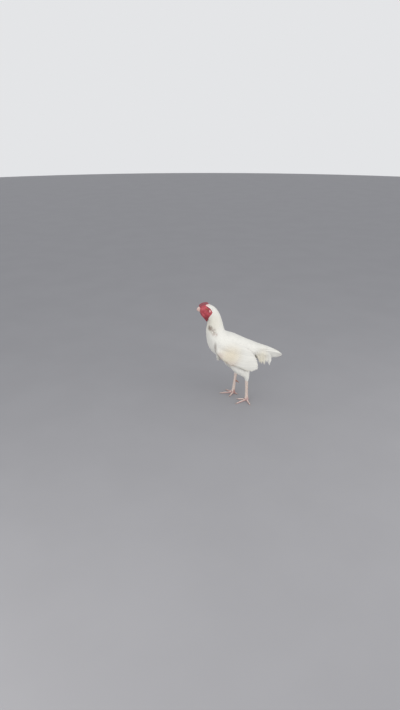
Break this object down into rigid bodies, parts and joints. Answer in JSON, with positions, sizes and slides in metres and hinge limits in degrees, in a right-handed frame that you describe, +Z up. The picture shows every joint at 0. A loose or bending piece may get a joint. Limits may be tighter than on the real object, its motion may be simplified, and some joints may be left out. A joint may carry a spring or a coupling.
{
  "type": "rooster",
  "caption": "Life-size white Asil game rooster, standing upright with bare red face, low pea comb, folded wings and a low tail.",
  "frame": {"origin": "on the floor under the middle of the bird's box", "axes": "+X forwards to the beak, +Y to the bird's left, +Z up"},
  "size_m": [0.5188, 0.231, 0.606],
  "materials": {
    "plumage": "soft white feathers, matte",
    "hackle": "long narrow ivory neck feathers with a slight sheen",
    "saddle": "long narrow white saddle and tail feathers with a slight sheen",
    "face": "bare red skin, finely wrinkled",
    "comb": "dark pink-red pebbled flesh",
    "lobe": "pale pink smooth skin",
    "beak": "pale pinkish horn, satin",
    "eye": "wet amber iris with a black pupil",
    "shank": "pinkish white horny scales",
    "claw": "pale horn, satin"
  },
  "bodies": {
    "root": {"beak_lower": "beak", "beak_upper": "beak", "breast": "plumage", "claw_hind_left": "claw", "claw_hind_right": "claw", "claw_inner_left": "claw", "claw_inner_right": "claw", "claw_middle_left": "claw", "claw_middle_right": "claw", "claw_outer_left": "claw", "claw_outer_right": "claw", "comb": "comb", "earlobe_left": "lobe", "earlobe_right": "lobe", "eye_left": "eye", "eye_right": "eye", "head": "face", "neck_lower": "hackle", "neck_upper": "hackle", "rump": "saddle", "saddle_feather_front_left": "saddle", "saddle_feather_front_right": "saddle", "saddle_feather_middle_left": "saddle", "saddle_feather_middle_right": "saddle", "saddle_feather_rear_left": "saddle", "saddle_feather_rear_right": "saddle", "saddle_feather_short_left": "saddle", "saddle_feather_short_right": "saddle", "shank_left": "shank", "shank_right": "shank", "spur_left": "claw", "spur_right": "claw", "tail": "saddle", "thigh_left": "plumage", "thigh_right": "plumage", "toe_hind_left": "shank", "toe_hind_right": "shank", "toe_inner_left": "shank", "toe_inner_right": "shank", "toe_middle_left": "shank", "toe_middle_right": "shank", "toe_outer_left": "shank", "toe_outer_right": "shank", "trunk": "plumage", "wattle_left": "comb", "wattle_right": "comb", "wing_flight_left": "plumage", "wing_flight_right": "plumage", "wing_left": "plumage", "wing_right": "plumage"}
  },
  "joints": []
}
